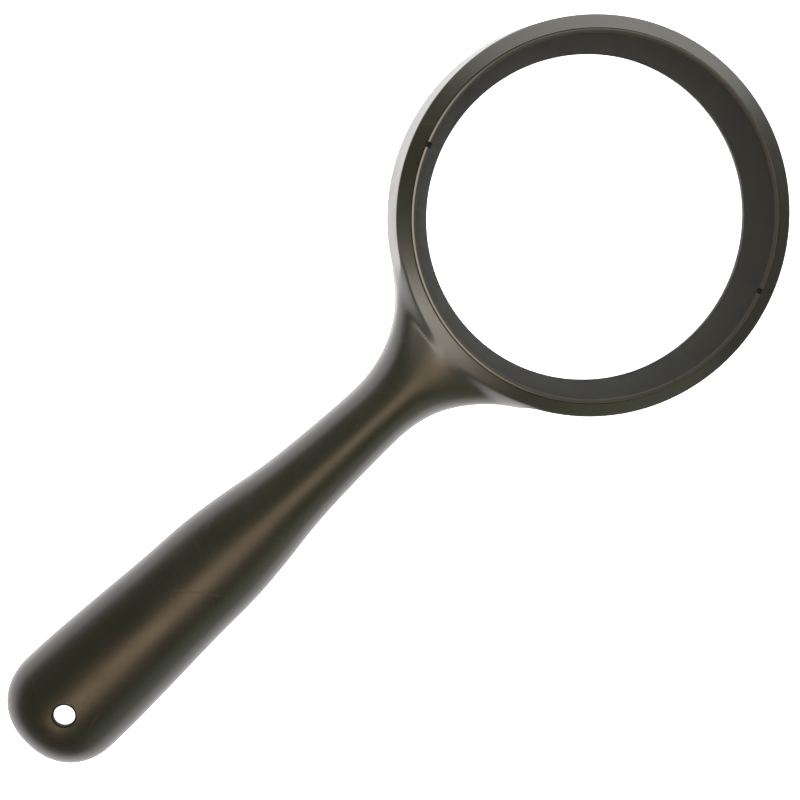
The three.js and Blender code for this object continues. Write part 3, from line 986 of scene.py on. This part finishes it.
def frame_plastic():
    """Satin black moulding: faint mottling, hairline scratches and edges rubbed lighter by hands.

    Its shine is turned down in the hanging hole, as painted shade.
    """
    material, tree = new_material("frame_plastic")
    mottle = noise(tree, place(tree), scale=0.09, detail=4.0)
    grain = noise(tree, place(tree), scale=2.2, detail=3.0, roughness=0.6)
    lines = scratches(tree, turns=(0.4, 1.3, 2.5), amount=0.6)
    edges = edge_mask(tree, radius=0.35, sharpness=0.12)
    patchy = ramp(tree, noise(tree, place(tree), scale=0.35, detail=4.0), low=0.35, high=0.7)
    wear = math_node(tree, "MULTIPLY", edges, patchy)
    colour = mix_colour(tree, mottle, FRAME_DARK, FRAME_LIGHT)
    colour = rubbed_plastic(tree, colour, lines, amount=0.25)
    colour = rubbed_plastic(tree, colour, wear, amount=0.5)
    roughness = shifted(tree, 0.3, mottle, amount=0.12)
    roughness = shifted(tree, roughness, lines, amount=0.15)
    roughness = shifted(tree, roughness, wear, amount=-0.08)
    surface = bump(tree, grain, strength=0.12, distance=0.02)
    surface = bump(tree, lines, strength=0.25, distance=-0.01, below=surface)
    # Painted shade: the hanging hole and its rounded edge barely shine, so that they read dark
    hole_shade_step = OPEN_SPECULAR - HOLE_SHADE_SPECULAR
    specular = shifted(tree, HOLE_SHADE_SPECULAR, beyond_hanging_hole(tree), amount=hole_shade_step)
    finish_material(tree, principled(tree, {
        "Base Color": colour, "Roughness": roughness, "Normal": surface, "IOR": 1.5,
        "Specular IOR Level": specular,
    }))
    return material


def height_above(tree, low, high):
    """0 below a height and 1 above another, in millimetres over the back."""
    coordinates = add_node(tree, "ShaderNodeTexCoord", {}, {})
    z = add_node(tree, "ShaderNodeSeparateXYZ", {}, {0: coordinates.outputs["Object"]}).outputs[2]
    return ramp(tree, z, low * MM, high * MM)


def ring_plastic():
    """Matt anti-glare black, turned in fine circles, its crest rubbed bare, with a painted highlight on
    the crest's outer edge on the side towards the handle.
    """
    material, tree = new_material("ring_plastic")
    mottle = noise(tree, place(tree), scale=0.12, detail=4.0)
    circles = noise(tree, place(tree, stretch=(0.15, 0.15, 4)), scale=1.0, detail=3.0)
    grain = noise(tree, place(tree), scale=6.0, detail=2.0)
    crest = height_above(tree, low=CREST_Z - BARE_DEPTH, high=CREST_Z - FULLY_BARE_DEPTH)
    nicks = ramp(tree, noise(tree, place(tree), scale=0.8, detail=4.0), low=0.15, high=0.4)
    bare = math_node(tree, "MULTIPLY", crest, nicks)
    # Painted highlight: a lighter band on the crest's outer edge, on the side towards the handle, standing
    # in for a glint of lamp light
    outwards = distance_from(tree, RIM_CENTRE)
    highlight_inner_r = CREST_INNER_R + CREST_HIGHLIGHT_FROM
    highlight_edge = ramp(tree, outwards, low=highlight_inner_r, high=CREST_INNER_R + CREST_HIGHLIGHT_FULL_FROM)
    highlight_direction = polar(1, CREST_HIGHLIGHT_ANGLE, 0)
    towards_highlight = add_node(tree, "ShaderNodeVectorMath", {"operation": "DOT_PRODUCT"}, {
        0: place(tree), 1: highlight_direction,
    }).outputs["Value"]
    centre = RIM_CENTRE.dot(highlight_direction)
    highlight_start = centre + CREST_HIGHLIGHT_START * CREST_INNER_R
    painted_highlight = ramp(tree, towards_highlight, low=highlight_start, high=centre + CREST_INNER_R)
    painted_highlight = math_node(tree, "MULTIPLY", painted_highlight, highlight_edge)
    colour = mix_colour(tree, mottle, RING_DARK, RING_LIGHT)
    # Bare crest plastic, with the painted highlight mixed in on one side
    colour = mix_colour(tree, bare, colour, mix_colour(tree, painted_highlight, BARE_CREST, CREST_HIGHLIGHT_COLOUR))
    roughness = shifted(tree, 0.7, mottle, amount=0.1)
    roughness = shifted(tree, roughness, bare, amount=-0.3)
    surface = bump(tree, circles, strength=0.15, distance=0.03)
    surface = bump(tree, grain, strength=0.2, distance=0.01, below=surface)
    finish_material(tree, principled(tree, {
        "Base Color": colour, "Roughness": roughness, "Normal": surface, "IOR": 1.45,
        "Specular IOR Level": 0.18,
    }))
    return material


def cover_plastic():
    """The back cover's finely sparked texture, with its edges rubbed smooth."""
    material, tree = new_material("cover_plastic")
    mottle = noise(tree, place(tree), scale=0.1, detail=4.0)
    texture = add_node(tree, "ShaderNodeTexVoronoi", {"feature": "SMOOTH_F1"}, {
        "Vector": place(tree), "Scale": 2.6, "Smoothness": 0.6,
    }).outputs[0]
    lines = scratches(tree, turns=(0.9, 2.0), amount=0.7)
    edges = edge_mask(tree, radius=0.3, sharpness=0.15)
    colour = mix_colour(tree, mottle, FRAME_DARK, FRAME_LIGHT)
    colour = rubbed_plastic(tree, colour, edges, amount=0.4)
    colour = rubbed_plastic(tree, colour, lines, amount=0.3)
    roughness = shifted(tree, 0.58, edges, amount=-0.2)
    roughness = shifted(tree, roughness, mottle, amount=0.1)
    surface = bump(tree, texture, strength=0.5, distance=0.06)
    surface = bump(tree, lines, strength=0.3, distance=-0.01, below=surface)
    finish_material(tree, principled(tree, {
        "Base Color": colour, "Roughness": roughness, "Normal": surface, "IOR": 1.5,
    }))
    return material


def screw_steel():
    """Zinc-plated steel with a faint passivated tint, small dark spots and brighter edges."""
    material, tree = new_material("screw_steel")
    tint = noise(tree, place(tree), scale=0.9, detail=3.0)
    spots = ramp(tree, noise(tree, place(tree), scale=5.0, detail=4.0), low=0.55, high=0.7)
    edges = edge_mask(tree, radius=0.12, sharpness=0.2)
    colour = mix_colour(tree, tint, STEEL_COOL, STEEL_WARM)
    colour = mix_colour(tree, math_node(tree, "MULTIPLY", spots, 0.4), colour, STEEL_SPOTS)
    colour = mix_colour(tree, math_node(tree, "MULTIPLY", edges, 0.5), colour, STEEL_EDGES)
    roughness = shifted(tree, 0.28, spots, amount=0.2)
    layers = noise(tree, place(tree, stretch=(1, 1, 6)), scale=7.0)
    surface = bump(tree, layers, strength=0.15, distance=0.01)
    finish_material(tree, principled(tree, {
        "Base Color": colour, "Metallic": 1.0, "Roughness": roughness, "Normal": surface,
    }))
    return material


def soft_black(name, dark, dusty, roughness, grain_scale):
    """Rubber and waxy plastic: a fine grain, slightly dusty, paler along the edges."""
    material, tree = new_material(name)
    dust = ramp(tree, noise(tree, place(tree), scale=0.5, detail=5.0), low=0.4, high=0.75)
    grain = noise(tree, place(tree), scale=grain_scale, detail=3.0)
    edges = edge_mask(tree, radius=0.1, sharpness=0.3)
    colour = mix_colour(tree, dust, dark, dusty)
    colour = rubbed_plastic(tree, colour, edges, amount=0.3)
    dulled = shifted(tree, roughness, dust, amount=0.12)
    surface = bump(tree, grain, strength=0.2, distance=0.02)
    finish_material(tree, principled(tree, {
        "Base Color": colour, "Roughness": dulled, "Normal": surface,
    }))
    return material


def lens_glass():
    """Polished crown glass with a few faint smudges; it lets light through to the table."""
    material, tree = new_material("lens_glass")
    cloudy = noise(tree, place(tree), scale=0.12, detail=5.0, roughness=0.6)
    smudges = ramp(tree, cloudy, low=0.5, high=0.75)
    specks = ramp(tree, noise(tree, place(tree), scale=3.0, detail=2.0), low=0.74, high=0.8)
    marks = math_node(tree, "MAXIMUM", math_node(tree, "MULTIPLY", smudges, 0.3), specks)
    colour = mix_colour(tree, marks, GLASS_CLEAN, GLASS_SMUDGED)
    glass = principled(tree, {
        "Base Color": colour, "Roughness": math_node(tree, "MULTIPLY", marks, 0.03),
        "Transmission Weight": 1.0, "IOR": 1.52,
        "Normal": bump(tree, marks, strength=0.02, distance=0.002),
    })
    clear = add_node(tree, "ShaderNodeBsdfTransparent", {}, {0: GLASS_SHADE}).outputs[0]
    path = add_node(tree, "ShaderNodeLightPath", {}, {})
    passing = math_node(tree, "MAXIMUM", path.outputs["Is Shadow Ray"], path.outputs["Is Diffuse Ray"])
    mixed = add_node(tree, "ShaderNodeMixShader", {}, {0: passing, 1: glass, 2: clear})
    finish_material(tree, mixed.outputs[0])
    return material


# ------------------------------------------------------------------ table, light and camera


def table_material():
    """Pale board that shines by itself, so that it stays white under the object too."""
    material, tree = new_material("pale_table")
    fibre = noise(tree, place(tree), scale=0.05, detail=4.0)
    colour = mix_colour(tree, fibre, BOARD_DARK, BOARD_LIGHT)
    board = add_node(tree, "ShaderNodeBsdfDiffuse", {}, {0: colour}).outputs[0]
    glow = add_node(tree, "ShaderNodeEmission", {}, {0: TABLE_TINT, 1: TABLE_GLOW}).outputs[0]
    glowing_board = add_node(tree, "ShaderNodeAddShader", {}, {0: board, 1: glow})
    finish_material(tree, glowing_board.outputs[0])
    return material


def build_table():
    mesh = bpy.data.meshes.new("table")
    half = TABLE_SIZE / 2
    corners = [(-half, -half), (half, -half), (half, half), (-half, half)]
    mesh.from_pydata([(x * MM, y * MM, -TABLE_GAP * MM) for x, y in corners], [], [(0, 1, 2, 3)])
    mesh.materials.append(table_material())
    table = bpy.data.objects.new("table", mesh)
    bpy.context.scene.collection.objects.link(table)


def grid_share(half_spread):
    """How much of a panel's light gets through a grid that stops it at an angle from its axis."""
    if half_spread > NO_GRID_ANGLE:
        return 1
    return 1 - half_spread / math.tan(half_spread)


def soft_panel(name, place, aim, width, height, spread, radiance, colour):
    """A soft panel that faces a point on the object, with its width level and its light gridded."""
    backwards = (Vector(place) - Vector(aim)).normalized()
    level = Vector((0, 0, 1)).cross(backwards).normalized()
    data = bpy.data.lights.new(name, "AREA")
    data.shape = "RECTANGLE"
    data.size = width * MM
    data.size_y = height * MM
    data.spread = math.radians(spread)
    data.energy = radiance * math.pi * data.size * data.size_y * grid_share(data.spread / 2)
    data.color = colour
    light = bpy.data.objects.new(name, data)
    axes = Matrix((level, backwards.cross(level), backwards)).transposed().to_4x4()
    light.matrix_world = Matrix.Translation((Vector(place) + RIM_CENTRE) * MM) @ axes
    light.visible_camera = False
    bpy.context.scene.collection.objects.link(light)


def build_world():
    """White to the camera, and a dim, slightly green fill light to everything else."""
    world = bpy.data.worlds.new("studio")
    world.use_nodes = True
    tree = world.node_tree
    tree.nodes.clear()
    seen = add_node(tree, "ShaderNodeBackground", {}, {0: (1, 1, 1, 1), 1: 1.0}).outputs[0]
    fill = add_node(tree, "ShaderNodeBackground", {}, {0: FILL_COLOUR, 1: FILL_STRENGTH}).outputs[0]
    path = add_node(tree, "ShaderNodeLightPath", {}, {})
    mixed = add_node(tree, "ShaderNodeMixShader", {}, {0: path.outputs["Is Camera Ray"], 1: fill, 2: seen})
    output = tree.nodes.new("ShaderNodeOutputWorld")
    tree.links.new(mixed.outputs[0], output.inputs["Surface"])
    bpy.context.scene.world = world


def build_camera():
    """Almost straight above the middle of the object, with the handle towards the lower left."""
    turn, lean = math.radians(CAMERA_LEANS_TO), math.radians(CAMERA_LEAN)
    backwards = Vector((math.cos(turn) * math.sin(lean), math.sin(turn) * math.sin(lean), math.cos(lean)))
    picture_up = Vector((math.cos(math.radians(PICTURE_UP)), math.sin(math.radians(PICTURE_UP)), 0))
    right = picture_up.cross(backwards).normalized()
    up = backwards.cross(right)
    data = bpy.data.cameras.new("camera")
    data.lens = CAMERA_LENS
    data.sensor_width = CAMERA_SENSOR
    data.clip_start = 0.01
    camera = bpy.data.objects.new("camera", data)
    turned_axes = Matrix((right, up, backwards)).transposed().to_4x4()
    camera.matrix_world = Matrix.Translation((CAMERA_AIM + backwards * CAMERA_DISTANCE) * MM) @ turned_axes
    bpy.context.scene.collection.objects.link(camera)
    bpy.context.scene.camera = camera
    bpy.context.scene.view_settings.view_transform = "Standard"


# ------------------------------------------------------------------ the scene

build_frame(frame_plastic())
build_retaining_ring(ring_plastic())
build_lens(lens_glass())
build_thin_ring(
    "gasket_rubber_ring", "lens_gasket", "frame_body", GASKET_INNER_R,
    GASKET_LOW, GASKET_HIGH, GASKET_ROUND,
    soft_black("gasket_rubber", RUBBER_DARK, RUBBER_DUSTY, roughness=0.75, grain_scale=4.0),
)
build_thin_ring(
    "slip_ring_disc", "lens_slip_ring", "slip_ring_body", SLIP_INNER_R,
    SLIP_LOW, SLIP_HIGH, SLIP_ROUND,
    soft_black("slip_ring_plastic", WAXY_DARK, WAXY_DUSTY, roughness=0.42, grain_scale=1.5),
)
build_cover(cover_plastic())
steel = screw_steel()
for number, distance in enumerate(SCREW_DISTANCES):
    build_screw(number, distance, steel)

build_table()
build_world()
for settings in SOFT_PANELS:
    soft_panel(*settings)
build_camera()
